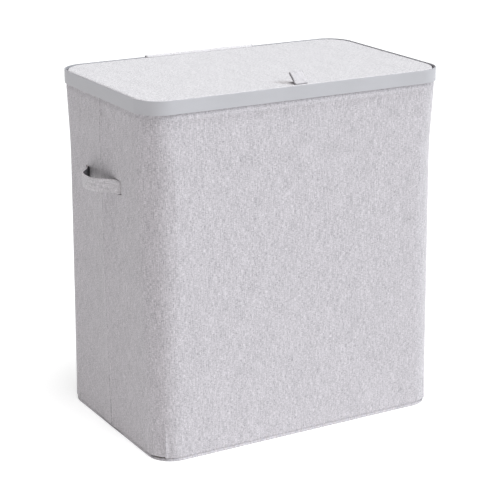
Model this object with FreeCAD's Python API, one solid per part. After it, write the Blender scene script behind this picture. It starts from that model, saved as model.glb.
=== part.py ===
"""Fabric laundry hamper with a hinged lid: one STEP file per piece, in millimetres.

Origin: centre of the base's underside. +Z up, +X to the right, the front faces -Y.
The walls are a sandwich: outer cover, stiffening boards, lining. A plastic rim grips their top edge.
"""
import FreeCAD
import Part
import math
import os

V = FreeCAD.Vector

# ---- overall sizes -------------------------------------------------------------------------------
HEIGHT = 636.0            # floor to the top of the rim
RIM_LENGTH = 600.0        # outside of the rim along X
RIM_DEPTH = 360.0         # outside of the rim along Y
BASE_SHORTER = 23.0       # the cover at the floor is this much shorter than the rim ...
BASE_DEEPER = 17.0        # ... and this much deeper, so the walls lean a little
BASE_LENGTH = RIM_LENGTH - BASE_SHORTER
BASE_DEPTH = RIM_DEPTH + BASE_DEEPER
CORNER_RADIUS = 49.0      # plan radius of the rim's outer corners
GAP = 0.3                 # clearance between neighbouring pieces

# ---- wall layers ---------------------------------------------------------------------------------
COVER_T = 1.2
BOARD_T = 2.5
LINING_T = 0.8
FOLD_GAP = 3.0            # between a side's two boards, where the side creases

# ---- rim -----------------------------------------------------------------------------------------
RIM_HEIGHT = 24.0
RIM_WALL = 2.5
RIM_EDGE_RADIUS = 0.8
LEDGE_DROP = 11.0         # from the rim's top to the ledge that the lid rests on
LEDGE_T = 1.8
LEG_T = 1.8
LEG_DEPTH = 22.0          # how far the inner leg reaches below the ledge
LEG_CLEARANCE = 0.4       # between the leg and the lining, where they are closest
RIM_CLEARANCE = 0.5       # between the band and the cover, at the band's lower edge

# ---- base ----------------------------------------------------------------------------------------
BINDING_HEIGHT = 5.0
BINDING_T = 1.2            # no thicker than the cover, so that the boards stand inside it
BASE_CLOTH_T = 1.0
BASE_BOARD_T = 3.0
INSERT_CLEARANCE = 1.5    # round the loose bottom insert, where it is tightest
INSERT_TRAVEL = 200.0     # how far the insert can lift flat between the walls
INSERT_COVER_T = 1.0
INSERT_BOARD_T = 3.0

# ---- lid -----------------------------------------------------------------------------------------
LID_GAP = 3.5             # between the lid and the rim's inside
LID_RADIUS = 50.0
LID_COVER_T = 1.2
LID_BOARD_T = 7.6
LID_LINING_T = 0.8
TAB_WIDTH = 25.0
TAB_LENGTH = 27.0
TAB_THICKNESS = 4.6
TAB_CLOTH_T = 1.5
TAB_ROOT_T = 3.0
TAB_ROOT_LENGTH = 5.0
TAB_SET_BACK = 2.0        # from the lid's front edge to the tab's root
TAB_LEAN = 39.0           # degrees above the lid's top, leaning back

# ---- hinge flap ----------------------------------------------------------------------------------
FLAP_WIDTH = 227.0
FLAP_X = -7.0             # the flap is sewn on a little left of the middle
FLAP_T = 1.0
FLAP_ON_LID = 6.0         # how far the flap is sewn onto the lid
FLAP_TAIL = 75.0          # from the rim's top to the flap's lower end
TAPE_WIDTH = 200.0
TAPE_HEIGHT = 33.0
TAPE_DROP = 32.0          # from the rim's top to the tapes
TAPE_T = 1.0

# ---- side handles --------------------------------------------------------------------------------
HANDLE_Z = 468.0
STRAP_WIDTH = 24.0
STRAP_T = 2.4
STRAP_BOW = 34.0          # how far the strap stands off the wall
STRAP_HALF_SPAN = 67.0
HOLE_INNER = 56.0         # the wall slits run from this Y ...
HOLE_OUTER = 70.0         # ... to this Y, on both sides of the middle
HOLE_MARGIN = 2.5         # above and below the strap, so that it can swing up
TAIL_T = 2.2
TAIL_LENGTH = 42.0

# ---- heights that follow -------------------------------------------------------------------------
LEDGE_TOP = HEIGHT - LEDGE_DROP
WALL_TOP = LEDGE_TOP - LEDGE_T - GAP
COVER_BOTTOM = BINDING_HEIGHT + 0.2
BASE_BOARD_BOTTOM = BASE_CLOTH_T + 0.2
FLOOR_BOTTOM = BASE_BOARD_BOTTOM + BASE_BOARD_T + GAP
WALL_STACK = COVER_T + GAP + BOARD_T + GAP + LINING_T
LINING_OUTSET = -(COVER_T + GAP + BOARD_T + GAP)
LID_BOTTOM = LEDGE_TOP + GAP
LID_BOARD_BOTTOM = LID_BOTTOM + LID_LINING_T + GAP
LID_TOP = LID_BOARD_BOTTOM + LID_BOARD_T + GAP + LID_COVER_T


def box(x0, x1, y0, y1, z0, z1):
    return Part.makeBox(x1 - x0, y1 - y0, z1 - z0, V(x0, y0, z0))


def outline(half_x, half_y, radius, z):
    """A rounded rectangle as one closed wire at height z."""
    edges = []
    corners = ((1, 1, 0), (-1, 1, 90), (-1, -1, 180), (1, -1, 270))
    ends = []
    for sx, sy, start in corners:
        centre = V(sx * (half_x - radius), sy * (half_y - radius), z)
        turn = [math.radians(start + step) for step in (0, 45, 90)]
        points = [centre + V(radius * math.cos(a), radius * math.sin(a), 0) for a in turn]
        edges.append(Part.Arc(*points).toShape())
        ends.append((points[0], points[-1]))
    for index, (_, leave) in enumerate(ends):
        arrive = ends[(index + 1) % len(ends)][0]
        edges.append(Part.LineSegment(leave, arrive).toShape())
    return Part.Wire(Part.__sortEdges__(edges))


def plate(half_x, half_y, radius, z0, z1):
    face = Part.Face(outline(half_x, half_y, radius, z0))
    return face.extrude(V(0, 0, z1 - z0))


def band(half_x, half_y, radius, thickness, z0, z1):
    """A plate without its middle: a vertical wall of the given thickness."""
    outside = plate(half_x, half_y, radius, z0, z1)
    inside = plate(half_x - thickness, half_y - thickness, radius - thickness, z0 - 1, z1 + 1)
    return outside.cut(inside)


def wall_half(z):
    """Half length, half depth and corner radius of the outer cover at height z.

    The walls lean: the base is a little shorter and deeper than the rim.
    """
    share = z / (HEIGHT - RIM_HEIGHT)
    inset = RIM_WALL + RIM_CLEARANCE
    top_x = RIM_LENGTH / 2 - inset
    top_y = RIM_DEPTH / 2 - inset
    half_x = BASE_LENGTH / 2 + (top_x - BASE_LENGTH / 2) * share
    half_y = BASE_DEPTH / 2 + (top_y - BASE_DEPTH / 2) * share
    return half_x, half_y, CORNER_RADIUS - inset


def narrowest(*heights):
    """The least half length and half depth of the cover at these heights, with its corner radius."""
    sizes = [wall_half(z) for z in heights]
    return min(s[0] for s in sizes), min(s[1] for s in sizes), sizes[0][2]


def tapered(outset, z0, z1):
    wires = []
    for z in (z0, z1):
        half_x, half_y, radius = wall_half(z)
        wires.append(outline(half_x + outset, half_y + outset, radius + outset, z))
    return Part.makeLoft(wires, True, True)


def wall_layer(outset, thickness, z0, z1):
    """One layer of the walls, all the way round: its outer face is outset from the cover's."""
    return tapered(outset, z0, z1).cut(tapered(outset - thickness, z0, z1))


def handle_holes():
    """The four holes that the straps go in through, as solids to cut away."""
    half_x = RIM_LENGTH / 2
    low = HANDLE_Z - STRAP_WIDTH / 2 - HOLE_MARGIN
    high = HANDLE_Z + STRAP_WIDTH / 2 + HOLE_MARGIN
    front = box(-half_x, half_x, -HOLE_OUTER, -HOLE_INNER, low, high)
    rear = box(-half_x, half_x, HOLE_INNER, HOLE_OUTER, low, high)
    return Part.Compound([front, rear])


def outer_cover():
    return wall_layer(0, COVER_T, COVER_BOTTOM, WALL_TOP).cut(handle_holes())


def lining():
    """A bag: the inside of the walls and the floor, sewn together."""
    walls = wall_layer(LINING_OUTSET, LINING_T, FLOOR_BOTTOM, WALL_TOP)
    floor = tapered(LINING_OUTSET - LINING_T / 2, FLOOR_BOTTOM, FLOOR_BOTTOM + LINING_T)
    return walls.fuse(floor).cut(handle_holes()).removeSplitter()


def wall_boards():
    """Stiffeners between cover and lining: one each in front and back, two in each side."""
    layer = wall_layer(-(COVER_T + GAP), BOARD_T, FLOOR_BOTTOM, WALL_TOP)
    half_x, half_y, radius = narrowest(0, HEIGHT)
    flat_x = half_x - radius
    flat_y = half_y - radius
    far = RIM_LENGTH
    fold = FOLD_GAP / 2
    regions = {
        "front_board": (-flat_x, flat_x, -far, 0),
        "back_board": (-flat_x, flat_x, 0, far),
        "left_front_board": (-far, 0, -flat_y, -fold),
        "left_rear_board": (-far, 0, fold, flat_y),
        "right_front_board": (0, far, -flat_y, -fold),
        "right_rear_board": (0, far, fold, flat_y),
    }
    boards = {}
    for name, (x0, x1, y0, y1) in regions.items():
        board = layer.common(box(x0, x1, y0, y1, 0, HEIGHT))
        boards[name] = board.cut(handle_holes())
    return boards


def rim_frame():
    """Outer band, a ledge for the lid and an inner leg: together they grip the wall's top edge."""
    half_x, half_y = RIM_LENGTH / 2, RIM_DEPTH / 2
    ring = band(half_x, half_y, CORNER_RADIUS, RIM_WALL, HEIGHT - RIM_HEIGHT, HEIGHT)
    top_edges = [e for e in ring.Edges if e.BoundBox.ZMin > HEIGHT - 0.001]
    ring = ring.makeFillet(RIM_EDGE_RADIUS, top_edges)
    leg_bottom = LEDGE_TOP - LEDGE_T - LEG_DEPTH
    leg_size = [length - WALL_STACK - LEG_CLEARANCE for length in narrowest(leg_bottom, WALL_TOP)]
    opening_size = [length - LEG_T for length in leg_size]
    ledge = plate(half_x - RIM_WALL / 2, half_y - RIM_WALL / 2, CORNER_RADIUS - RIM_WALL / 2,
                  LEDGE_TOP - LEDGE_T, LEDGE_TOP)
    leg = plate(*leg_size, leg_bottom, LEDGE_TOP - LEDGE_T / 2)
    opening = plate(*opening_size, leg_bottom - 1, LEDGE_TOP + 1)
    return ring.fuse([ledge.cut(opening), leg.cut(opening)]).removeSplitter()


def base_pieces():
    half_x, half_y, radius = wall_half(0)
    binding = band(half_x, half_y, radius, BINDING_T, 0, BINDING_HEIGHT)
    inset = BINDING_T + GAP
    inner = (half_x - inset, half_y - inset, radius - inset)
    cloth = plate(*inner, 0, BASE_CLOTH_T)
    board = plate(*inner, BASE_BOARD_BOTTOM, BASE_BOARD_BOTTOM + BASE_BOARD_T)
    return {"base_binding": binding, "base_cloth": cloth, "base_board": board}


def insert_pieces():
    """The loose bottom: a board sewn into a cloth sleeve."""
    inset = WALL_STACK + INSERT_CLEARANCE
    bottom = FLOOR_BOTTOM + LINING_T + GAP
    size = [length - inset for length in narrowest(0, bottom + INSERT_TRAVEL)]
    board_bottom = bottom + INSERT_COVER_T + 0.2
    board_top = board_bottom + INSERT_BOARD_T
    margin = INSERT_COVER_T + 0.2
    board_size = [length - margin for length in size]
    hollow = plate(*[length - INSERT_COVER_T for length in size],
                   bottom + INSERT_COVER_T, board_top + 0.2)
    cover = plate(*size, bottom, board_top + margin).cut(hollow)
    return {"insert_cover": cover, "insert_board": plate(*board_size, board_bottom, board_top)}


def lid_size(inset=0.0):
    edge = RIM_WALL + LID_GAP + inset
    return RIM_LENGTH / 2 - edge, RIM_DEPTH / 2 - edge, LID_RADIUS - inset


def lid_pieces():
    """A board with a cloth cover turned down over its edge and a lining underneath."""
    hollow = plate(*lid_size(LID_COVER_T), LID_BOTTOM - 1, LID_TOP - LID_COVER_T)
    cover = plate(*lid_size(), LID_BOTTOM, LID_TOP).cut(hollow)
    inner = lid_size(LID_COVER_T + GAP)
    board = plate(*inner, LID_BOARD_BOTTOM, LID_BOARD_BOTTOM + LID_BOARD_T)
    under = plate(*inner, LID_BOTTOM, LID_BOTTOM + LID_LINING_T)
    return {"lid_cover": cover, "lid_board": board, "lid_lining": under}


def tab_root():
    """Y and Z of the line that the pull tab bends about."""
    y = -(RIM_DEPTH / 2 - RIM_WALL - LID_GAP) + TAB_SET_BACK
    return y, LID_TOP + GAP + TAB_ROOT_T / 2


def pull_tab():
    """A folded loop of cloth, sewn flat at its root and leaning back."""
    half_x = TAB_WIDTH / 2
    stem = box(-half_x, half_x, 0, TAB_ROOT_LENGTH + 1, -TAB_ROOT_T / 2, TAB_ROOT_T / 2)
    root = Part.makeCylinder(TAB_ROOT_T / 2, TAB_WIDTH, V(-half_x, 0, 0), V(1, 0, 0))

    def stadium(thickness, start, end):
        r = thickness / 2
        middle = box(-half_x, half_x, start + r, end - r, -r, r)
        ends = [Part.makeCylinder(r, TAB_WIDTH, V(-half_x, y, 0), V(1, 0, 0)) for y in (start + r, end - r)]
        return middle.fuse(ends)

    loop = stadium(TAB_THICKNESS, TAB_ROOT_LENGTH, TAB_LENGTH)
    slot = stadium(TAB_THICKNESS - 2 * TAB_CLOTH_T, TAB_ROOT_LENGTH + TAB_CLOTH_T, TAB_LENGTH - TAB_CLOTH_T)
    tab = stem.fuse([root, loop]).cut(slot).removeSplitter()
    y, z = tab_root()
    tab.rotate(V(0, 0, 0), V(1, 0, 0), TAB_LEAN)
    tab.translate(V(0, y, z))
    return tab


def hinge_line():
    """Y and Z of the line that the hinge flap bends about, at the rim's rear inside edge."""
    return RIM_DEPTH / 2 - RIM_WALL - GAP, HEIGHT + GAP + FLAP_T + GAP


def prism(points, low_x, high_x):
    """A polygon of (y, z) points, extruded along X."""
    corners = [V(low_x, y, z) for y, z in points]
    face = Part.Face(Part.makePolygon(corners + corners[:1]))
    return face.extrude(V(high_x - low_x, 0, 0))


def hinge_pieces():
    low_x, high_x = FLAP_X - FLAP_WIDTH / 2, FLAP_X + FLAP_WIDTH / 2
    bend_y, bend_z = hinge_line()
    rim_y = RIM_DEPTH / 2
    top = HEIGHT + GAP
    over = box(low_x, high_x, bend_y + GAP, rim_y + GAP + FLAP_T, top, top + FLAP_T)
    down = box(low_x, high_x, rim_y + GAP, rim_y + GAP + FLAP_T, HEIGHT - FLAP_TAIL, top + FLAP_T)
    lid_rear = lid_size()[1]
    low = LID_TOP + GAP
    sewn = [
        (lid_rear - FLAP_ON_LID, low),
        (lid_rear - 1, low),
        (bend_y - GAP, bend_z - GAP - 1.2 * FLAP_T),
        (bend_y - GAP, bend_z - GAP),
        (lid_rear - 2, low + FLAP_T),
        (lid_rear - FLAP_ON_LID, low + FLAP_T),
    ]
    tape_box = box(-TAPE_WIDTH / 2, TAPE_WIDTH / 2, 0, RIM_DEPTH,
                   HEIGHT - TAPE_DROP - TAPE_HEIGHT, HEIGHT - TAPE_DROP)
    loop_outset = 0.2 + TAPE_T
    hook_outset = loop_outset + 0.1 + TAPE_T
    tapes = [wall_layer(outset, TAPE_T, 0, HEIGHT).common(tape_box) for outset in (loop_outset, hook_outset)]
    return {
        "hinge_flap": over.fuse(down).removeSplitter(),
        "hinge_flap_on_lid": prism(sewn, low_x, high_x),
        "hinge_loop_tape": tapes[0],
        "hinge_hook_tape": tapes[1],
    }


def handle_pieces(side, name):
    """side is -1 at the left and 1 at the right. The strap bows out between the two wall holes."""
    wall_x = wall_half(HANDLE_Z)[0] + GAP
    rise = STRAP_BOW - GAP
    radius = (STRAP_HALF_SPAN ** 2 + rise ** 2) / (2 * rise)
    centre_x = wall_x + rise - radius
    low = HANDLE_Z - STRAP_WIDTH / 2
    high = HANDLE_Z + STRAP_WIDTH / 2
    at = V(side * centre_x, 0, low)
    ring = Part.makeCylinder(radius, STRAP_WIDTH, at).cut(Part.makeCylinder(radius - STRAP_T, STRAP_WIDTH, at))
    far = centre_x + radius + 1
    keep = sorted((side * wall_x, side * far))
    strap = ring.common(box(*keep, -radius, radius, low, high))
    outset = -(WALL_STACK + GAP)
    patch_layer = wall_layer(outset, TAIL_T, low, high)
    start = STRAP_HALF_SPAN + GAP
    throat_x = sorted((side * (wall_x - GAP), side * (wall_x - WALL_STACK - GAP - TAIL_T)))
    tails = []
    for end in (-1, 1):
        patch_y = sorted((end * start, end * (start + TAIL_LENGTH)))
        patch_x = sorted((0, side * RIM_LENGTH))
        patch = patch_layer.common(box(*patch_x, *patch_y, low, high))
        throat_y = sorted((end * start, end * (HOLE_OUTER - GAP)))
        tails.append(patch.fuse(box(*throat_x, *throat_y, low, high)).removeSplitter())
    return {name: strap, name + "_tails": Part.Compound([s for tail in tails for s in tail.Solids])}


def pieces():
    found = {"outer_cover": outer_cover(), "lining": lining(), "rim_frame": rim_frame(), "pull_tab": pull_tab()}
    found.update(wall_boards())
    found.update(base_pieces())
    found.update(insert_pieces())
    found.update(lid_pieces())
    found.update(hinge_pieces())
    found.update(handle_pieces(-1, "handle_left"))
    found.update(handle_pieces(1, "handle_right"))
    return found


os.makedirs("parts", exist_ok=True)
for node, shape in pieces().items():
    shape.exportStep("parts/" + node + ".step")
    bounds = shape.BoundBox
    print("%-20s solids %d valid %s volume %.0f  x %.1f..%.1f  y %.1f..%.1f  z %.1f..%.1f" % (
        node, len(shape.Solids), shape.isValid(), shape.Volume,
        bounds.XMin, bounds.XMax, bounds.YMin, bounds.YMax, bounds.ZMin, bounds.ZMax))
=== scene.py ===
"""The looks of a cloth laundry hamper with a hinged lid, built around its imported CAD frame."""
import math

import bmesh
import bpy
import numpy as np
from mathutils import Matrix, Vector


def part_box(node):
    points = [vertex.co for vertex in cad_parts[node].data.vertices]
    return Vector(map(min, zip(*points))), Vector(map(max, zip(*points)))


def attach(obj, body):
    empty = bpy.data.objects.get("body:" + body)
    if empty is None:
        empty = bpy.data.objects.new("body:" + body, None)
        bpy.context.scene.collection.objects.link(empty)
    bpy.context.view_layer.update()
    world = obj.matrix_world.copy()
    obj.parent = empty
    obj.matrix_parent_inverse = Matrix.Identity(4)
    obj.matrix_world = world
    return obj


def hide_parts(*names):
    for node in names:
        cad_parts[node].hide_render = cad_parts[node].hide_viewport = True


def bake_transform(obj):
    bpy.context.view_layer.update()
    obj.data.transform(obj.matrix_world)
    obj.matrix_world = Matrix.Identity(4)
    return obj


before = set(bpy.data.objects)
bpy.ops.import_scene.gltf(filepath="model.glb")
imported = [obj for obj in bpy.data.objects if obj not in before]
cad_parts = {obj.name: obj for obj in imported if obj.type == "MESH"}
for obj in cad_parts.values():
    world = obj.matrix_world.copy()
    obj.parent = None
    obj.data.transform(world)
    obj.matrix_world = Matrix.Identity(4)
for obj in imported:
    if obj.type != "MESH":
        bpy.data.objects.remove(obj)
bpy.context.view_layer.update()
MM = 0.001

# ---- sizes in millimetres, from the frame where it holds them --------------------------------------


def node_mm(node):
    """Lowest and highest corner of a CAD node, in millimetres."""
    return tuple(np.array(corner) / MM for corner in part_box(node))


RIM_LOW, RIM_HIGH = node_mm("rim_frame")
BINDING_HIGH = node_mm("base_binding")[1]
LID_LOW, LID_HIGH = node_mm("lid_cover")
COVER_TOP = node_mm("outer_cover")[1][2]
TAB_LOW, TAB_HIGH = node_mm("pull_tab")
STRAP_LOW, STRAP_HIGH = node_mm("handle_right")
FLAP_LOW, FLAP_HIGH = node_mm("hinge_flap")
INSERT_LOW, INSERT_HIGH = node_mm("insert_cover")
LINING_LOW, LINING_HIGH = node_mm("lining")

HEIGHT = RIM_HIGH[2]
RIM_BAND = 24.0            # height of the rim's outer band
RIM_WALL = 2.5
RIM_GAP = 0.5              # between the band and the cloth
RIM_RADIUS = 49.0
RIM_BOTTOM = HEIGHT - RIM_BAND
SEAM_Z = BINDING_HIGH[2] + 0.2   # where the outer cloth meets the binding
CLOTH = 1.2                # thickness of the outer cloth
LINING = 0.8
FELT = 1.0                 # of the cloth under the base
WALL_STACK = 5.1           # cloth, board and lining, with the gaps between them
HANDLE_Z = (STRAP_LOW[2] + STRAP_HIGH[2]) / 2
STRAP_WIDTH = STRAP_HIGH[2] - STRAP_LOW[2]
HOLE = (56.0, 70.0)        # a wall slit's two Y positions, each side of the middle
HOLE_HALF_HEIGHT = STRAP_WIDTH / 2 + 0.5
REAR_SAG = 2.5             # a strap's rear end has pulled its slit down by this much
SLIT_EDGES = [HANDLE_Z + e for e in (-HOLE_HALF_HEIGHT - REAR_SAG, -HOLE_HALF_HEIGHT,
                                     HOLE_HALF_HEIGHT - REAR_SAG, HOLE_HALF_HEIGHT)]
SPACING = 5.0              # of the columns round a wall
FOLD_HALF_WIDTH = 62.0     # of the ridge along the fold in each side wall
FOLD_EDGE_Y = 1.0          # the ridge's sharp top
FURROW_Y = -1.5            # the furrow beside it
FURROW_HALF_WIDTH = 1.2


def wall_size(z):
    """Half length, half depth and corner radius of the outer cloth at height z."""
    share = z / RIM_BOTTOM
    top = (RIM_HIGH[0] - RIM_WALL - RIM_GAP, RIM_HIGH[1] - RIM_WALL - RIM_GAP)
    return tuple(BINDING_HIGH[k] + (top[k] - BINDING_HIGH[k]) * share for k in (0, 1)) + (
        RIM_RADIUS - RIM_WALL - RIM_GAP,)


# ---- meshes ----------------------------------------------------------------------------------------


def stations(half_x, half_y, radius, marks_y=(), spacing=SPACING, arc_steps=14):
    """Places round a rounded rectangle that keep their meaning when its size changes.

    Each is (corner or side, place). A mark is a Y position on the right and left sides that has its own
    column.
    """
    flat_x, flat_y = half_x - radius, half_y - radius
    count_x = max(2, round(2 * flat_x / spacing))
    marks = sorted(set([-flat_y, flat_y, *marks_y]))
    right = []
    for low, high in zip(marks, marks[1:]):
        steps = max(1, round((high - low) / spacing))
        right += [low + (high - low) * i / steps for i in range(steps)]
    places = [("right", y) for y in right]
    places += [("arc", (1, 1, 90 * i / arc_steps)) for i in range(arc_steps)]
    places += [("back", flat_x - 2 * flat_x * i / count_x) for i in range(count_x)]
    places += [("arc", (-1, 1, 90 + 90 * i / arc_steps)) for i in range(arc_steps)]
    places += [("left", -y) for y in right]
    places += [("arc", (-1, -1, 180 + 90 * i / arc_steps)) for i in range(arc_steps)]
    places += [("front", -flat_x + 2 * flat_x * i / count_x) for i in range(count_x)]
    places += [("arc", (1, -1, 270 + 90 * i / arc_steps)) for i in range(arc_steps)]
    return {"places": places, "flat": (flat_x, flat_y), "fixed_y": max([0.0, *marks_y])}


def ring(marks, half_x, half_y, radius, z):
    """The stations' points on a rounded rectangle of this size, at height z."""
    flat_x, flat_y = half_x - radius, half_y - radius
    old_x, old_y = marks["flat"]
    fixed = marks["fixed_y"]
    points = []
    for kind, place in marks["places"]:
        if kind == "arc":
            sx, sy, angle = place
            a = math.radians(angle)
            points.append((sx * flat_x + radius * math.cos(a), sy * flat_y + radius * math.sin(a), z))
        elif kind in ("right", "left"):
            side = 1 if kind == "right" else -1
            y = place
            if abs(y) > fixed:
                y = math.copysign(fixed + (abs(y) - fixed) * (flat_y - fixed) / (old_y - fixed), y)
            points.append((side * half_x, y, z))
        else:
            side = 1 if kind == "back" else -1
            points.append((place * flat_x / old_x, side * half_y, z))
    return points


def grid_normals(grid, closed):
    """Unit normals of an (R, C, 3) grid whose columns run anticlockwise and whose rows run up."""
    if closed:
        across = np.roll(grid, -1, 1) - np.roll(grid, 1, 1)
    else:
        across = np.gradient(grid, axis=1)
    along = np.gradient(grid, axis=0)
    normal = np.cross(across, along)
    length = np.linalg.norm(normal, axis=2, keepdims=True)
    normal = normal / np.maximum(length, 1e-9)
    for row, size in zip(normal, length[..., 0]):
        lost = size < 1e-6
        if lost.any() and not lost.all():
            row[lost] = row[~lost].mean(axis=0)
    for i in reversed(range(len(normal))):
        if length[i].max() < 1e-6:
            normal[i] = normal[min(i + 1, len(normal) - 1)].mean(axis=0)
    return normal / np.maximum(np.linalg.norm(normal, axis=2, keepdims=True), 1e-9)


def lengths(grid, axis, closed=False):
    """Distance along the grid's rows or columns, in millimetres, at each corner of the cells."""
    steps = np.linalg.norm(np.diff(grid, axis=axis), axis=2)
    if axis == 1:
        middle = steps[steps.shape[0] // 2]
        if closed:
            row = grid[grid.shape[0] // 2]
            middle = np.append(middle, np.linalg.norm(row[0] - row[-1]))
        run = np.concatenate([[0], np.cumsum(middle)])
        return np.tile(run, (grid.shape[0], 1))
    run = np.concatenate([np.zeros((1, steps.shape[1])), np.cumsum(steps, axis=0)])
    return np.concatenate([run, run[:, :1]], axis=1) if closed else run


def weave_uv(grid, closed, flat):
    """The cloth's u and v in millimetres at the cells' corners: lengths along it, or its plan when flat."""
    if not flat:
        return lengths(grid, 1, closed), lengths(grid, 0, closed)
    wrapped = np.concatenate([grid, grid[:, :1]], axis=1) if closed else grid
    return wrapped[:, :, 0], wrapped[:, :, 1]


def new_piece(name, vertices, faces, uvs):
    """A mesh object in metres from millimetres, with one uv in metres for each corner of each face."""
    mesh = bpy.data.meshes.new(name)
    mesh.from_pydata((np.asarray(vertices) * MM).tolist(), [], faces)
    layer = mesh.uv_layers.new(name="weave")
    layer.data.foreach_set("uv", (np.asarray(uvs) * MM).ravel())
    mesh.update()
    mesh.polygons.foreach_set("use_smooth", [True] * len(mesh.polygons))
    piece = bpy.data.objects.new(name, mesh)
    bpy.context.scene.collection.objects.link(piece)
    return piece


def cloth(name, grid, thickness, closed=False, keep=None, flat_uv=False, cap=None):
    """A sheet of real thickness on an (R, C, 3) grid. Its face on the normal's side is the grid.

    keep is a mask of cells; a hole gets a wall round its edge. cap is the row, first or last, that is
    filled with one flat face on each side of the cloth.
    """
    grid = np.asarray(grid, float)
    rows, columns = grid.shape[:2]
    cells = columns if closed else columns - 1
    normal = grid_normals(grid, closed)
    inner = grid - normal * thickness
    if keep is None:
        keep = np.ones((rows - 1, cells), bool)
    u, v = weave_uv(grid, closed, flat_uv)
    half = rows * columns
    faces, uvs = [], []

    def corner(i, j):
        return i * columns + j % columns

    def kept(i, j):
        if closed:
            j %= cells
        return 0 <= i < rows - 1 and 0 <= j < cells and keep[i, j]

    for i in range(rows - 1):
        for j in range(cells):
            if not keep[i, j]:
                continue
            around = [(i, j), (i, j + 1), (i + 1, j + 1), (i + 1, j)]
            beside = [(i - 1, j), (i, j + 1), (i + 1, j), (i, j - 1)]
            faces.append([corner(*c) for c in around])
            uvs += [(u[c], v[c]) for c in around]
            faces.append([half + corner(*c) for c in reversed(around)])
            uvs += [(u[c], v[c]) for c in reversed(around)]
            for side, neighbour in enumerate(beside):
                at_cap = (cap == "first" and neighbour[0] < 0) or (cap == "last" and neighbour[0] == rows - 1)
                if kept(*neighbour) or at_cap:
                    continue
                a, b = around[side], around[(side + 1) % 4]
                faces.append([corner(*b), corner(*a), half + corner(*a), half + corner(*b)])
                uvs += [(u[b], v[b]), (u[a], v[a]), (u[a], v[a] - thickness), (u[b], v[b] - thickness)]
    if cap:
        row = 0 if cap == "first" else rows - 1
        order = list(range(columns))[::-1 if cap == "first" else 1]
        for start, turn in ((0, 1), (half, -1)):
            faces.append([start + row * columns + j for j in order[::turn]])
            uvs += [tuple(grid[row, j, :2]) for j in order[::turn]]
    points = np.concatenate([grid.reshape(-1, 3), inner.reshape(-1, 3)])
    piece = new_piece(name, points, faces, uvs)
    drop_loose(piece)
    return piece


def drop_loose(piece):
    """Removes the points that no face uses."""
    mesh = bmesh.new()
    mesh.from_mesh(piece.data)
    loose = [v for v in mesh.verts if not v.link_faces]
    bmesh.ops.delete(mesh, geom=loose, context="VERTS")
    mesh.to_mesh(piece.data)
    mesh.free()


def tube(name, loops, closed_ends=True, flat_uv=False):
    """A closed skin through (R, C, 3) loops: each row is a closed section, anticlockwise along the run."""
    grid = np.asarray(loops, float)
    rows, columns = grid.shape[:2]
    u, v = weave_uv(grid, True, flat_uv)
    faces, uvs = [], []
    last = rows - 1 if closed_ends else rows
    for i in range(last):
        for j in range(columns):
            around = [(i, j), (i, j + 1), ((i + 1) % rows, j + 1), ((i + 1) % rows, j)]
            faces.append([a * columns + b % columns for a, b in around])
            uvs += [(u[c], v[c]) for c in around]
    if closed_ends:
        faces.append([j for j in reversed(range(columns))])
        uvs += [(u[0, j], v[0, j]) for j in reversed(range(columns))]
        faces.append([(rows - 1) * columns + j for j in range(columns)])
        uvs += [(u[rows - 1, j], v[rows - 1, j]) for j in range(columns)]
    return new_piece(name, grid.reshape(-1, 3), faces, uvs)


def arc_profile(centre, radius, start, stop, steps=6):
    """Points of an arc in a section: (outwards, up) pairs."""
    angles = [math.radians(start + (stop - start) * i / steps) for i in range(steps + 1)]
    return [(centre[0] + radius * math.cos(a), centre[1] + radius * math.sin(a)) for a in angles]


def smoothstep(low, high, x):
    """0 at low and beyond, 1 at high and beyond, and a smooth rise between. low may be the larger number."""
    t = np.clip((x - low) / (high - low), 0, 1)
    return t * t * (3 - 2 * t)


def bump(x, centre, width):
    """A smooth hump of height 1."""
    return np.exp(-((x - centre) / width) ** 2)


def plate_rings(marks, size, insets_and_heights):
    """Rings of a rounded rectangle, each drawn in by an inset and set at a height."""
    half_x, half_y, radius = size
    rows = []
    for inset, z in insets_and_heights:
        rows.append(ring(marks, half_x - inset, half_y - inset, max(radius - inset, 0), z))
    return rows


def rounded_section(corners, steps=4):
    """A closed section from (outwards, up, radius) corners.

    Each corner becomes an arc with a point just before and after it, which keeps the flat faces flat.
    """
    count = len(corners)
    points = []
    for k in range(count):
        here = np.array(corners[k][:2], float)
        before = np.array(corners[k - 1][:2], float)
        after = np.array(corners[(k + 1) % count][:2], float)
        into = (here - before) / np.linalg.norm(here - before)
        out = (after - here) / np.linalg.norm(after - here)
        turn = math.acos(np.clip(into @ out, -1, 1))
        reach = corners[k][2] * math.tan(turn / 2)
        first, last = here - into * reach, here + out * reach
        room = min(np.linalg.norm(here - before), np.linalg.norm(after - here)) / 2
        support = min(0.25, max(room - reach, 0) / 2)
        points.append(first - into * support)
        for s in range(steps + 1):
            t = s / steps
            points.append((1 - t) ** 2 * first + 2 * t * (1 - t) * here + t ** 2 * last)
        points.append(last + out * support)
    return points


def ring_of_section(name, marks, size, section):
    """A closed section of (outwards, up) points, swept round a rounded rectangle."""
    half_x, half_y, radius = size
    rows = [ring(marks, half_x + out, half_y + out, max(radius + out, 0.5), z) for out, z in section]
    return tube(name, rows, closed_ends=False)


def section_along(path, side, width, thickness, across, groove):
    """Closed sections of a flat strap along a path. side is the direction of its width.

    groove is (distance from an edge, depth) of the furrow that a row of stitches pulls in.
    """
    path = np.asarray(path, float)
    side = np.array(side, float)
    out = side_normals(path, side)
    places = np.linspace(-1, 1, across)
    rows = []
    for point, normal in zip(path, out):
        front, back = [], []
        for w in places:
            edge = width / 2 * (1 - abs(w))
            half = thickness / 2 * (1 - 0.35 * abs(w) ** 8) - groove[1] * bump(edge, groove[0], 0.9)
            front.append(point + side * w * width / 2 + normal * half)
            back.append(point + side * w * width / 2 - normal * half)
        rows.append(front + back[::-1])
    return rows


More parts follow.
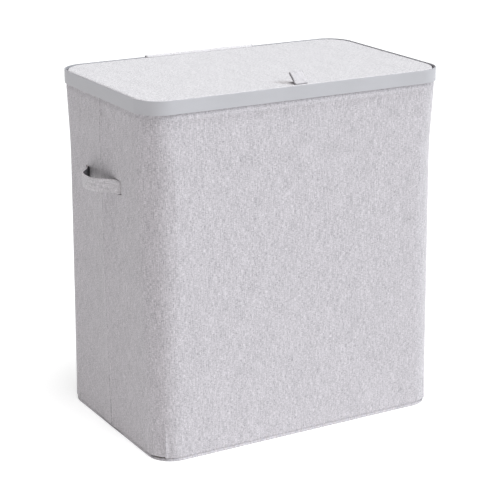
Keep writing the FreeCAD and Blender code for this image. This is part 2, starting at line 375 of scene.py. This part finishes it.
def side_normals(path, side):
    """Each point's direction square to the path and to side."""
    along = np.gradient(np.asarray(path, float), axis=0)
    out = np.cross(along, np.array(side, float))
    return out / np.linalg.norm(out, axis=1, keepdims=True)


def smooth_path(points, spacing=2.0):
    """A rounded line through a few points, at even spacing: Catmull-Rom, centripetal."""
    points = [np.array(p, float) for p in points]
    points = [2 * points[0] - points[1]] + points + [2 * points[-1] - points[-2]]
    line = []
    for a, b, c, d in zip(points, points[1:], points[2:], points[3:]):
        steps = max(2, int(np.linalg.norm(c - b) / 0.5))
        for s in range(steps):
            t = s / steps
            line.append(0.5 * (2 * b + (c - a) * t + (2 * a - 5 * b + 4 * c - d) * t ** 2
                               + (3 * b - a - 3 * c + d) * t ** 3))
    line.append(points[-2])
    line = np.array(line)
    run = np.concatenate([[0], np.cumsum(np.linalg.norm(np.diff(line, axis=0), axis=1))])
    places = np.linspace(0, run[-1], max(3, round(run[-1] / spacing) + 1))
    return np.stack([np.interp(places, run, line[:, k]) for k in range(3)], axis=1)


def stitches(name, lines, normals, length=2.6, gap=1.3, thick=0.5):
    """Rows of thread stitches: small spindles half sunk in the cloth.

    Each line is a list of points, with one normal for each point.
    """
    vertices, faces, uvs = [], [], []
    around, along = 6, 4
    for line, normal in zip(lines, normals):
        line = np.asarray(line, float)
        normal = np.asarray(normal, float)
        run = np.concatenate([[0], np.cumsum(np.linalg.norm(np.diff(line, axis=0), axis=1))])
        start = gap / 2
        while start + length < run[-1]:
            ends = [np.array([np.interp(s, run, line[:, k]) for k in range(3)])
                    for s in (start, start + length)]
            up = np.array([np.interp(start + length / 2, run, normal[:, k]) for k in range(3)])
            up /= np.linalg.norm(up)
            ahead = (ends[1] - ends[0]) / np.linalg.norm(ends[1] - ends[0])
            side = np.cross(up, ahead)
            base = len(vertices)
            for i in range(along + 1):
                t = i / along
                radius = thick / 2 * max(0.15, math.sin(math.pi * (0.12 + 0.76 * t)))
                sink = -0.25 * thick * (2 * abs(t - 0.5)) ** 2 * 2
                middle = ends[0] + (ends[1] - ends[0]) * t + up * sink
                for k in range(around):
                    a = 2 * math.pi * k / around
                    vertices.append(middle + side * radius * math.cos(a) + up * radius * 0.8 * math.sin(a))
            for i in range(along):
                for k in range(around):
                    a, b = base + i * around, base + (i + 1) * around
                    faces.append([a + k, a + (k + 1) % around, b + (k + 1) % around, b + k])
                    uvs += [(k, i), (k + 1, i), (k + 1, i + 1), (k, i + 1)]
            faces.append([base + k for k in reversed(range(around))])
            uvs += [(0, 0)] * around
            faces.append([base + along * around + k for k in range(around)])
            uvs += [(0, 0)] * around
            start += length + gap
    return new_piece(name, vertices, faces, uvs)


# ---- materials -------------------------------------------------------------------------------------


class Nodes:
    """A few shortcuts for building a material's nodes."""

    def __init__(self, name):
        self.material = bpy.data.materials.new(name)
        self.material.use_nodes = True
        self.tree = self.material.node_tree
        self.shader = self.tree.nodes["Principled BSDF"]

    def add(self, kind, **values):
        node = self.tree.nodes.new("ShaderNode" + kind)
        for key, value in values.items():
            if hasattr(node, key):
                setattr(node, key, value)
            else:
                node.inputs[key.replace("_", " ")].default_value = value
        return node

    def link(self, source, target):
        self.tree.links.new(source, target)

    def noise(self, vector, stretch, detail=2.0, roughness=0.5):
        """Noise on a vector scaled by stretch, one number for each axis."""
        mapping = self.add("Mapping")
        mapping.inputs["Scale"].default_value = stretch
        self.link(vector, mapping.inputs["Vector"])
        noise = self.add("TexNoise", Scale=1.0, Detail=detail, Roughness=roughness)
        self.link(mapping.outputs["Vector"], noise.inputs["Vector"])
        return noise.outputs["Fac"]

    def math(self, operation, a, b=None, c=None):
        node = self.add("Math", operation=operation)
        for socket, value in zip(node.inputs, (a, b, c)):
            if value is None:
                continue
            if isinstance(value, (int, float)):
                socket.default_value = value
            else:
                self.link(value, socket)
        return node.outputs[0]

    def ramp(self, factor, stops):
        """A colour ramp: stops are (position, colour)."""
        node = self.add("ValToRGB")
        elements = node.color_ramp.elements
        while len(elements) < len(stops):
            elements.new(0.5)
        for element, (position, colour) in zip(elements, stops):
            element.position = position
            element.color = (*colour, 1)
        self.link(factor, node.inputs["Fac"])
        return node.outputs["Color"]


def linen(name, dark, light, contrast=1.0, slub=0.18):
    """Heathered woven cloth on the uv map: upright and cross threads of two tones, thick and thin.

    contrast narrows the step from dark to light. slub is the weight of the threads' thick places.
    """
    n = Nodes(name)
    uv = n.add("UVMap", uv_map="weave").outputs["UV"]
    layers = [
        (0.30, (1500, 170, 1), 3),   # upright threads
        (0.32, (150, 1300, 1), 3),   # cross threads
        (0.10, (2000, 500, 1), 2),   # fine upright fibres
        (0.20, (1500, 1500, 1), 2),  # the crossings
        (0.04, (34, 13, 1), 3),      # slow change of tone
        (slub, (560, 40, 1), 3),     # thick places in the thread
    ]
    noises = [n.noise(uv, stretch, detail=detail, roughness=0.7) for _, stretch, detail in layers]
    tone = 0.0
    for (weight, _, _), noise in zip(layers, noises):
        tone = n.math("MULTIPLY_ADD", noise, weight, tone)
    warp, weft, _, grain, _, _ = noises
    middle = 0.5 * sum(weight for weight, _, _ in layers)
    colour = n.ramp(tone, [(middle - 0.078 / contrast, dark), (middle + 0.071 / contrast, light)])
    n.link(colour, n.shader.inputs["Base Color"])
    threads = n.add("Mapping")
    threads.inputs["Scale"].default_value = (2 * math.pi * 900, 2 * math.pi * 760, 1)
    n.link(uv, threads.inputs["Vector"])
    split = n.add("SeparateXYZ")
    n.link(threads.outputs["Vector"], split.inputs[0])
    weave = n.math("MULTIPLY", n.math("SINE", split.outputs[0]), n.math("SINE", split.outputs[1]))
    height = n.math("ADD", n.math("MULTIPLY", weave, 0.25), n.math("MULTIPLY", warp, 0.9))
    height = n.math("ADD", height, n.math("MULTIPLY", weft, 0.6))
    lumps = n.add("Bump", Strength=0.28, Distance=0.0006)
    n.link(height, lumps.inputs["Height"])
    n.link(lumps.outputs["Normal"], n.shader.inputs["Normal"])
    rough = n.math("MULTIPLY_ADD", grain, 0.14, 0.82)
    n.link(rough, n.shader.inputs["Roughness"])
    n.shader.inputs["Specular IOR Level"].default_value = 0.2
    n.shader.inputs["Sheen Weight"].default_value = 0.4
    n.shader.inputs["Sheen Roughness"].default_value = 0.5
    return n.material


def moulded_plastic(name, colour):
    """Satin plastic with a very fine spark-eroded grain and faint uneven gloss."""
    n = Nodes(name)
    place = n.add("TexCoord").outputs["Object"]
    grain = n.noise(place, (1500, 1500, 1500), detail=2)
    patches = n.noise(place, (14, 14, 22), detail=3)
    tint = n.math("ADD", n.math("MULTIPLY", grain, 0.3), n.math("MULTIPLY", patches, 0.7))
    low = tuple(c * 0.96 for c in colour)
    high = tuple(min(1, c * 1.04) for c in colour)
    n.link(n.ramp(tint, [(0.3, low), (0.7, high)]), n.shader.inputs["Base Color"])
    n.link(n.math("MULTIPLY_ADD", patches, 0.12, 0.36), n.shader.inputs["Roughness"])
    fine = n.add("Bump", Strength=0.12, Distance=0.00012)
    n.link(grain, fine.inputs["Height"])
    n.link(fine.outputs["Normal"], n.shader.inputs["Normal"])
    n.shader.inputs["Specular IOR Level"].default_value = 0.4
    return n.material


def felted(name, dark, light):
    """Thin non-woven cloth: short fibres pressed together, with rows of bonded dots."""
    n = Nodes(name)
    uv = n.add("UVMap", uv_map="weave").outputs["UV"]
    fibres = n.noise(uv, (700, 500, 1), detail=4, roughness=0.7)
    cross = n.noise(uv, (260, 900, 1), detail=3)
    tone = n.math("MULTIPLY_ADD", fibres, 0.6, n.math("MULTIPLY", cross, 0.4))
    n.link(n.ramp(tone, [(0.38, dark), (0.62, light)]), n.shader.inputs["Base Color"])
    dots = n.add("Mapping")
    dots.inputs["Scale"].default_value = (2 * math.pi * 420, 2 * math.pi * 420, 1)
    n.link(uv, dots.inputs["Vector"])
    split = n.add("SeparateXYZ")
    n.link(dots.outputs["Vector"], split.inputs[0])
    grid = n.math("MULTIPLY", n.math("COSINE", split.outputs[0]), n.math("COSINE", split.outputs[1]))
    height = n.math("ADD", n.math("MULTIPLY", grid, -0.3), fibres)
    lumps = n.add("Bump", Strength=0.35, Distance=0.0004)
    n.link(height, lumps.inputs["Height"])
    n.link(lumps.outputs["Normal"], n.shader.inputs["Normal"])
    n.shader.inputs["Roughness"].default_value = 0.92
    n.shader.inputs["Specular IOR Level"].default_value = 0.15
    return n.material


def pressed_board(name, dark, light):
    """Grey-brown pressed board with short fibres."""
    n = Nodes(name)
    place = n.add("TexCoord").outputs["Object"]
    fibres = n.noise(place, (900, 900, 300), detail=4, roughness=0.7)
    clouds = n.noise(place, (30, 30, 30), detail=2)
    tone = n.math("MULTIPLY_ADD", fibres, 0.6, n.math("MULTIPLY", clouds, 0.4))
    n.link(n.ramp(tone, [(0.35, dark), (0.65, light)]), n.shader.inputs["Base Color"])
    n.shader.inputs["Roughness"].default_value = 0.95
    lumps = n.add("Bump", Strength=0.2, Distance=0.0003)
    n.link(fibres, lumps.inputs["Height"])
    n.link(lumps.outputs["Normal"], n.shader.inputs["Normal"])
    return n.material


BODY_CLOTH = linen("body_linen", (0.25, 0.236, 0.252), (0.69, 0.65, 0.682))
STRAP_CLOTH = linen("strap_linen", (0.28, 0.266, 0.28), (0.75, 0.715, 0.74))
# Painted light: the lid's linen (also used for the hinge strip) is a lighter copy of the body linen, standing
# in for the stronger light on the lid's top
LID_LINEN_PAINTED_LIGHT = linen("lid_linen_painted_light", (0.39, 0.376, 0.39), (0.88, 0.849, 0.871), contrast=1.3, slub=0.07)
# Painted shade: the tab's linen is a darker copy of the lid linen, offsetting the stronger light and sheen on
# its leaning face
TAB_LINEN_PAINTED_SHADE = linen("tab_linen_painted_shade", (0.40, 0.384, 0.40), (0.66, 0.635, 0.655))
LINING_CLOTH = felted("lining_cloth", (0.52, 0.52, 0.53), (0.66, 0.66, 0.67))
BASE_CLOTH = felted("base_cloth", (0.20, 0.20, 0.21), (0.30, 0.30, 0.31))
TAPE_CLOTH = felted("tape_cloth", (0.48, 0.48, 0.49), (0.62, 0.62, 0.63))
RIM_PLASTIC = moulded_plastic("rim_plastic", (0.448, 0.440, 0.462))
BOARD = pressed_board("board", (0.34, 0.28, 0.21), (0.48, 0.40, 0.31))
# Painted shade: the strap's inner face is near-black to stand in for the shadow inside the strap's bow
STRAP_INNER_PAINTED_SHADE = felted("strap_inner_painted_shade", (0.10, 0.10, 0.11), (0.17, 0.17, 0.18))
THREAD = linen("thread", (0.58, 0.57, 0.59), (0.74, 0.73, 0.75))


def dress(piece, material, body=None):
    """Gives a piece its one material and its slot, and the body it rides on if it has only one."""
    piece.data.materials.clear()
    piece.data.materials.append(material)
    if body:
        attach(piece, body)
    return piece


# ---- the body --------------------------------------------------------------------------------------


def levels(*marks, spacing=6.0):
    """Heights with one at each mark and about even steps between them."""
    found = []
    for low, high in zip(marks, marks[1:]):
        steps = max(1, round((high - low) / spacing))
        found += [low + (high - low) * i / steps for i in range(steps)]
    return found + [marks[-1]]


def wall_grid(outset, heights, marks):
    """A grid round the four walls, this far outside the outer cloth's face."""
    rows = []
    for z in heights:
        half_x, half_y, radius = wall_size(z)
        rows.append(ring(marks, half_x + outset, half_y + outset, radius + outset, z))
    return np.array(rows)


def hole_cells(grid):
    """The cells of a wall grid that aren't in one of the four holes for the straps."""
    middle = (grid + np.roll(grid, -1, 1)) / 2
    middle = (middle[1:] + middle[:-1]) / 2
    x, y, z = middle[..., 0], np.abs(middle[..., 1]), middle[..., 2]
    on_side = np.abs(x) > wall_size(0)[0] - 12
    centre = HANDLE_Z - REAR_SAG * (middle[..., 1] > 0)
    inside = on_side & (y > HOLE[0]) & (y < HOLE[1]) & (np.abs(z - centre) < HOLE_HALF_HEIGHT)
    return ~inside


def corner_angle(x, y, z):
    """How far round a corner a point is: 0 at its side wall, a quarter turn at the front or back wall."""
    half_x, half_y, radius = wall_size(z)
    along_x = np.maximum(np.abs(x) - (half_x - radius), 0)
    along_y = np.maximum(np.abs(y) - (half_y - radius), 0)
    return np.arctan2(along_y, along_x)


def corner_share(x, y, z):
    """1 in the middle of a rounded corner, 0 where the flat boards begin."""
    return np.sin(2 * corner_angle(x, y, z)) ** 0.7


def waist(z):
    """How far the cloth is drawn in at the corners, where no board holds it out."""
    drawn = np.minimum(-1.8 + 6.6 * z / 470.0, 4.8)
    return drawn * smoothstep(RIM_BOTTOM, RIM_BOTTOM - 125, z)


def side_fold(y, z):
    """The fold along the middle of a side wall: a low ridge with a sharp top and a furrow beside it."""
    ridge = 3.6 * np.maximum(0, 1 - np.abs(y) / FOLD_HALF_WIDTH) ** 1.2
    ridge = ridge * smoothstep(RIM_BOTTOM, RIM_BOTTOM - 60, z) * (0.55 + 0.45 * smoothstep(0, 90, z))
    top = 0.9 * np.maximum(0, 1 - np.abs(y - FOLD_EDGE_Y) / 5)
    depth = 1.2 + 1.0 * smoothstep(420, 580, z) + 3.3 * smoothstep(125, 60, z)
    return ridge + top - depth * np.maximum(0, 1 - np.abs(y - FURROW_Y) / FURROW_HALF_WIDTH)


def side_pleats(y, z):
    """The small upright wrinkles in a side wall just under the rim."""
    waves = np.sin(y / 3.7 + 1.0) + 0.7 * np.sin(y / 2.1 + 2.2) + 0.6 * np.sin(y / 6.1)
    return 0.35 * waves * smoothstep(RIM_BOTTOM - 85, RIM_BOTTOM - 15, z)


def corner_gathers(turn, z):
    """The puckers low in a corner, and the dent along its bottom seam."""
    puckers = 2.4 * bump(turn, 0.90, 0.05) - 2.0 * bump(turn, 0.80, 0.04)
    puckers = puckers + 0.8 * bump(turn, 1.30, 0.06) + 0.8 * bump(turn, 0.35, 0.06)
    return puckers * smoothstep(70, 12, z) - 2.2 * bump(z, SEAM_Z, 2.4)


def cloth_relief(x, y, z):
    """How far the outer cloth stands off the flat boards, in millimetres."""
    side_x = wall_size(0)[0]
    on_side = smoothstep(side_x - 22, side_x - 8, np.abs(x))
    corner = corner_share(x, y, z)
    flare = (2.2 - 1.2 * on_side) * bump(z, RIM_BOTTOM - 9, 7)
    tuck = -0.5 * bump(z, SEAM_Z, 2.5)
    relief = on_side * side_fold(y, z) + (1 - corner) * (flare + on_side * side_pleats(y, z))
    return relief + corner * (corner_gathers(corner_angle(x, y, z), z) - waist(z)) + tuck


def seam_lift(x, y, z):
    """How far the outer cloth's lower edge has ridden up off the binding at the corners."""
    return 1.8 * bump(corner_angle(x, y, z), 0.6, 0.3) * np.clip(1 - (z - SEAM_Z) / 8, 0, 1)


def outer_cloth():
    """The outer cloth of the four walls, with a slit for each end of the straps."""
    folds = (-6.0, -4.0, FURROW_Y - FURROW_HALF_WIDTH, FURROW_Y, FURROW_Y + FURROW_HALF_WIDTH,
             FOLD_EDGE_Y, 3.0, 6.0)
    marks = stations(*wall_size(0), marks_y=(-HOLE[1], -HOLE[0], *folds, HOLE[0], HOLE[1]), arc_steps=60)
    near_seam = [SEAM_Z + rise for rise in (0, 1.5, 3, 5, 8)]
    flare = [RIM_BOTTOM - drop for drop in (24, 18, 14, 11, 8, 5, 2)]
    flat = wall_grid(0, near_seam + levels(SEAM_Z + 12, *SLIT_EDGES, *flare, COVER_TOP), marks)
    x, y, z = np.moveaxis(flat, 2, 0)
    grid = flat + grid_normals(flat, True) * cloth_relief(x, y, z)[..., None]
    grid[..., 2] += seam_lift(x, y, z)
    piece = cloth("body_cloth", grid, CLOTH, closed=True, keep=hole_cells(flat))
    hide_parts("outer_cover")
    return dress(piece, BODY_CLOTH, "hamper")


def lining_bag():
    """The inner cloth: four walls and a floor in one bag, with the same slits as the outer cloth."""
    marks = stations(*wall_size(0), marks_y=(-HOLE[1], -HOLE[0], 0.0, HOLE[0], HOLE[1]))
    outset = -(WALL_STACK - LINING)
    floor = LINING_LOW[2]
    size = [length + outset for length in wall_size(0)]
    fold = 5.0
    turn_up = arc_profile((0, floor + fold), fold, -80, 0)
    rows = plate_rings(marks, size, [(inset, floor) for inset in (44, 30, 15, 8)])
    rows += plate_rings(marks, size, [(fold - out, z) for out, z in turn_up])
    heights = levels(floor + 12, *SLIT_EDGES, LINING_HIGH[2], spacing=10)
    wall = wall_grid(outset, heights, marks)
    x, y, z = np.moveaxis(wall, 2, 0)
    drawn = corner_share(x, y, z) * np.maximum(waist(z) - 1.0, 0)
    wall = wall - grid_normals(wall, True) * drawn[..., None]
    grid = np.concatenate([np.array(rows), wall])
    piece = cloth("lining_bag", grid, LINING, closed=True, keep=hole_cells(grid), cap="first")
    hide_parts("lining")
    return dress(piece, LINING_CLOTH, "hamper")


def binding_strip():
    """The bound edge round the base: a rolled strip of the body cloth."""
    size = wall_size(0)
    marks = stations(*size, spacing=8)
    high = BINDING_HIGH[2]
    stand_out = 0.1
    section = rounded_section([
        (stand_out, 0.0, 1.2), (stand_out, high, 1.4), (-CLOTH, high, 0.3), (-CLOTH, 0.0, 0.3)])
    piece = ring_of_section("base_binding_strip", marks, size, section)
    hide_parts("base_binding")
    return dress(piece, BODY_CLOTH, "hamper")


def rim():
    """The moulded rim: band, ledge and inner leg in one section."""
    size = (RIM_HIGH[0], RIM_HIGH[1], RIM_RADIUS)
    marks = stations(*size, spacing=12, arc_steps=24)
    ledge_top = LID_LOW[2] - 0.3
    ledge_t = 1.8
    leg_in = RIM_WALL + RIM_GAP + WALL_STACK + 0.6
    leg_t = 1.8
    bottom = RIM_LOW[2]
    section = rounded_section([
        (0, RIM_BOTTOM, 0.5), (0, HEIGHT, 0.9), (-RIM_WALL, HEIGHT, 0.8), (-RIM_WALL, ledge_top, 0.4),
        (-leg_in - leg_t, ledge_top, 0.8), (-leg_in - leg_t, bottom, 0.5), (-leg_in, bottom, 0.5),
        (-leg_in, ledge_top - ledge_t, 0.3), (-RIM_WALL, ledge_top - ledge_t, 0.3),
        (-RIM_WALL, RIM_BOTTOM, 0.4)])
    piece = ring_of_section("rim_band", marks, size, section)
    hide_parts("rim_frame")
    return dress(piece, RIM_PLASTIC, "hamper")


def base_sheet():
    """The cloth under the base."""
    size = [length - CLOTH - 0.3 for length in wall_size(0)]
    marks = stations(*size, spacing=16)
    rows = plate_rings(marks, size, [(inset, 0.0) for inset in (40, 20, 4, 0)])
    piece = cloth("base_underside", np.array(rows), FELT, closed=True, flat_uv=True, cap="first")
    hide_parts("base_cloth")
    return dress(piece, BASE_CLOTH, "hamper")


def insert_sleeve():
    """The loose bottom's cloth sleeve: a flat closed pad with soft edges."""
    size = (INSERT_HIGH[0], INSERT_HIGH[1], 36.0)
    marks = stations(*size, spacing=10)
    low, high = INSERT_LOW[2], INSERT_HIGH[2]
    r = (high - low) / 2
    flats = (32, 20, 12, 6)
    rows = [(inset, low) for inset in flats]
    rows += [(r - out, z) for out, z in arc_profile((0, low + r), r, -90, 90, steps=8)]
    rows += [(inset, high) for inset in reversed(flats)]
    piece = tube("insert_sleeve", plate_rings(marks, size, rows), flat_uv=True)
    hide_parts("insert_cover")
    return dress(piece, LINING_CLOTH, "insert")


# ---- the lid ---------------------------------------------------------------------------------------

LID_RADIUS = 50.0
LID_SWELL = 1.3            # the cloth stands out round the edge of the board
LID_SIZE = (LID_HIGH[0] + LID_SWELL, LID_HIGH[1] + LID_SWELL, LID_RADIUS)


def lid_cloth():
    """The lid's top cloth: pulled over the board's rounded edge and turned in underneath."""
    marks = stations(*LID_SIZE, spacing=8)
    low, high = LID_LOW[2], LID_HIGH[2]
    roll = 3.2
    flats = (46, 36, 26, 18, 12, 8, 5)
    rows = [(inset, high) for inset in flats]
    rows += [(roll - out, z) for out, z in arc_profile((0, high - roll), roll, 90, 0, steps=7)]
    rows += [(0, low + 3), (0.1, low + 1.2), (0.6, low + 0.3)]
    rows += [(1.5, low), (6, low), (12, low)]
    grid = np.array(plate_rings(marks, LID_SIZE, rows))[::-1]
    piece = cloth("lid_top_cloth", grid, CLOTH, closed=True, flat_uv=True, cap="last")
    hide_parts("lid_cover")
    return dress(piece, LID_LINEN_PAINTED_LIGHT, "lid")


def lid_under():
    """The cloth under the lid, inside the turned edge of the top cloth."""
    size = [length - 8 for length in LID_SIZE]
    marks = stations(*size, spacing=12)
    low = LID_LOW[2] + 0.3
    rows = plate_rings(marks, size, [(inset, low) for inset in (38, 20, 6, 2, 0)])
    piece = cloth("lid_under_cloth", np.array(rows), LINING, closed=True, flat_uv=True, cap="first")
    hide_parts("lid_lining")
    return dress(piece, LINING_CLOTH, "lid")


def tab():
    """The folded loop at the lid's front edge, leaning back."""
    root = np.array([0, TAB_LOW[1] + 2.4, LID_HIGH[2] + 1.6])
    lean = math.radians(39)
    ahead = np.array([0, math.cos(lean), math.sin(lean)])
    up = np.array([0, -math.sin(lean), math.cos(lean)])
    t = 1.4
    half = 2.3 - t / 2     # from the loop's middle plane to each of its two layers
    route = [(0.8, -t / 2), (4.5, -t / 2), (9, -half), (22, -half), (25.6, -half * 0.7), (26.3, 0),
             (25.6, half * 0.7), (22, half), (9, half), (4.5, t / 2),
             (1.4, t / 2), (0.1, 0.45), (-0.35, -0.3), (-0.3, -0.8)]
    path = smooth_path([root + ahead * a + up * b for a, b in route], spacing=0.8)
    width = TAB_HIGH[0] - TAB_LOW[0]
    piece = tube("pull_tab_loop", section_along(path, (1, 0, 0), width, t, across=11, groove=(2.0, 0.12)))
    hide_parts("pull_tab")
    return dress(piece, TAB_LINEN_PAINTED_SHADE, "tab")


def hinge_cloth():
    """The strip of cloth from the lid's top, over the rim's rear edge and down behind it."""
    rim_y = RIM_HIGH[1]
    lid_y, lid_z = LID_HIGH[1], LID_HIGH[2]
    t = 1.0
    top = HEIGHT + 1.9 + t / 2
    back = rim_y + 0.5 + t / 2
    reach = 74.5           # below the rim's top
    route = [(lid_y - 5.0, lid_z + 0.6), (lid_y - 2.0, lid_z + 0.6), (lid_y + 0.8, lid_z + 0.9),
             (lid_y + 2.4, top - 0.8), (rim_y - 1.8, top), (back - 0.3, top - 1.2), (back, top - 4),
             (back, top - 30), (back, HEIGHT - reach)]
    width = FLAP_HIGH[0] - FLAP_LOW[0]
    middle = (FLAP_HIGH[0] + FLAP_LOW[0]) / 2
    path = smooth_path([(middle, y, z) for y, z in route], spacing=1.2)
    piece = tube("hinge_cloth", section_along(path, (1, 0, 0), width, t, across=41, groove=(3.0, 0.08)))
    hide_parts("hinge_flap", "hinge_flap_on_lid")
    piece.data.materials.append(LID_LINEN_PAINTED_LIGHT)
    up = -side_normals(path, (1, 0, 0))
    edge = width / 2 - 3.5
    lines = [path + up * 0.45 + (x, 0, 0) for x in (-edge, edge)]
    seam, count = 3, 60    # the row across the lid: its place on the path, and its points
    across = np.linspace(-edge, edge, count)
    lines.append(np.array([path[seam] + up[seam] * 0.45 + (x, 0, 0) for x in across]))
    sewn = stitches("hinge_stitches", lines, [up, up, np.tile(up[seam], (count, 1))])
    dress(sewn, THREAD)
    for part in (piece, sewn):
        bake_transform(part)
    return piece, sewn


# ---- the handles -----------------------------------------------------------------------------------


def strap(side, name):
    """One strap: sewn inside the wall, out through a slit, round in a bow and back in through the other.

    The routes hold (distance out from the wall's face, distance from the wall's middle).
    """
    wall = wall_size(HANDLE_Z)[0]
    inside = wall - WALL_STACK - 1.4
    rear = [(31.2, 12), (27.8, 24), (19.5, 35), (11.0, 46), (5.6, 55), (1.8, 61), (-3.5, 64.5)]
    front = [(30.8, 12), (26.4, 24), (17.5, 34), (8.8, 43), (3.8, 50), (1.7, 56), (0.2, 60.5), (-3.5, 64)]
    sewn_in = [(inside - wall, 73), (inside - wall, 84), (inside - wall, 107)]
    route = [(x, -y) for x, y in reversed(front + sewn_in)] + [(31.6, 0)] + rear + sewn_in
    points = []
    for x, y in route:
        droop = 1.2 * float(smoothstep(0, 35, x)) + REAR_SAG * float(smoothstep(25, 60, y))
        points.append((side * (wall + x), y, HANDLE_Z - droop))
    if side < 0:
        points.reverse()
    path = smooth_path(points, spacing=2.0)
    across = 13
    section = section_along(path, (0, 0, 1), STRAP_WIDTH - 0.6, 2.2, across=across, groove=(2.2, 0.25))
    piece = tube(name + "_strap", section)
    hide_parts(name, name + "_tails")
    piece.data.materials.append(STRAP_CLOTH)
    piece.data.materials.append(STRAP_INNER_PAINTED_SHADE)
    # The inner half of the strap's faces gets the near-black painted shade of the shadow inside its bow
    for face in piece.data.polygons[:(len(path) - 1) * 2 * across]:
        face.material_index = int(across <= face.index % (2 * across) < 2 * across - 1)
    shown = path[np.abs(path[:, 0]) > wall + 1.5]
    outwards = side_normals(shown, (0, 0, 1))
    lines = [shown + outwards * 0.95 + (0, 0, height) for height in (-8.8, -3.0, 3.0, 8.8)]
    sewn = stitches(name + "_stitches", lines, [outwards] * len(lines), gap=1.6, thick=0.7)
    dress(sewn, THREAD)
    for part in (piece, sewn):
        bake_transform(part)
    return piece, sewn


made = {
    "body": outer_cloth(), "lining": lining_bag(), "binding": binding_strip(), "underside": base_sheet(),
    "insert": insert_sleeve(), "lid_top": lid_cloth(), "lid_under": lid_under(), "tab": tab(),
}
rim()
made["hinge"], made["hinge_thread"] = hinge_cloth()
made["left"], made["left_thread"] = strap(-1, "handle_left")
made["right"], made["right_thread"] = strap(1, "handle_right")


def dress_cad_nodes():
    """The boards and tapes, which are shown as the CAD has them."""
    for node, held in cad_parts.items():
        held.data.materials.clear()
        held.data.materials.append(TAPE_CLOTH if "tape" in node else BOARD)


dress_cad_nodes()


# ---- floor, light and camera -----------------------------------------------------------------------


def floor():
    """A wide white floor, just under the base. Its own glow keeps the ground white under the object."""
    mesh = bpy.data.meshes.new("floor")
    far, z = 40.0, -0.0002
    mesh.from_pydata([(-far, -far, z), (far, -far, z), (far, far, z), (-far, far, z)], [], [(0, 1, 2, 3)])
    plane = bpy.data.objects.new("floor", mesh)
    bpy.context.scene.collection.objects.link(plane)
    n = Nodes("pale_floor")
    n.shader.inputs["Base Color"].default_value = (0.55, 0.55, 0.55, 1)
    n.shader.inputs["Roughness"].default_value = 0.9
    n.shader.inputs["Emission Color"].default_value = (1, 1, 1, 1)
    n.shader.inputs["Emission Strength"].default_value = 0.58
    plane.data.materials.append(n.material)


def sun_light(name, towards, strength, spread, colour=(1, 1, 1)):
    """A distant light. towards is the way it shines, spread its width in degrees."""
    light = bpy.data.lights.new(name, "SUN")
    light.energy = strength
    light.color = colour
    light.angle = math.radians(spread)
    lamp = bpy.data.objects.new(name, light)
    lamp.rotation_mode = "QUATERNION"
    lamp.rotation_quaternion = Vector(towards).to_track_quat("-Z", "Y")
    bpy.context.scene.collection.objects.link(lamp)


def lights():
    """Even light from all round, a broad light from above and a softer one on the front wall."""
    world = bpy.data.worlds.new("studio")
    bpy.context.scene.world = world
    world.use_nodes = True
    world.node_tree.nodes["Background"].inputs["Color"].default_value = (1, 1, 1, 1)
    world.node_tree.nodes["Background"].inputs["Strength"].default_value = 0.21
    sun_light("overhead", (0.0, 0.24, -1.0), 2.65, 26)
    sun_light("key", (-0.628, 0.565, -0.534), 1.72, 19, colour=(0.90, 0.99, 1.03))
    bpy.context.scene.view_settings.view_transform = "Standard"


def camera():
    """A long lens from the front left and a little above. Its distance and aim are shares of the height."""
    azimuth, elevation, roll = math.radians(-30.17), math.radians(17.52), math.radians(0.10)
    distance = 4.811 * HEIGHT * MM
    aim_right, aim_up = -0.0017, -0.0373
    lens_per_width = 3.3198
    level = math.cos(elevation)
    back = Vector((math.sin(azimuth) * level, -math.cos(azimuth) * level, math.sin(elevation)))
    right = Vector((math.cos(azimuth), math.sin(azimuth), 0))
    up = right.cross(-back)
    turned_right = right * math.cos(roll) + up * math.sin(roll)
    turned_up = up * math.cos(roll) - right * math.sin(roll)
    centre = Vector((0, 0, HEIGHT / 2)) + (turned_right * aim_right + turned_up * aim_up) * HEIGHT
    data = bpy.data.cameras.new("camera")
    data.sensor_width = 36
    data.lens = data.sensor_width * lens_per_width
    data.clip_start, data.clip_end = 0.1, 60
    eye = bpy.data.objects.new("camera", data)
    eye.matrix_world = Matrix((
        (turned_right.x, turned_up.x, back.x, centre.x * MM + back.x * distance),
        (turned_right.y, turned_up.y, back.y, centre.y * MM + back.y * distance),
        (turned_right.z, turned_up.z, back.z, centre.z * MM + back.z * distance),
        (0, 0, 0, 1)))
    bpy.context.scene.collection.objects.link(eye)
    bpy.context.scene.camera = eye


floor()
lights()
camera()
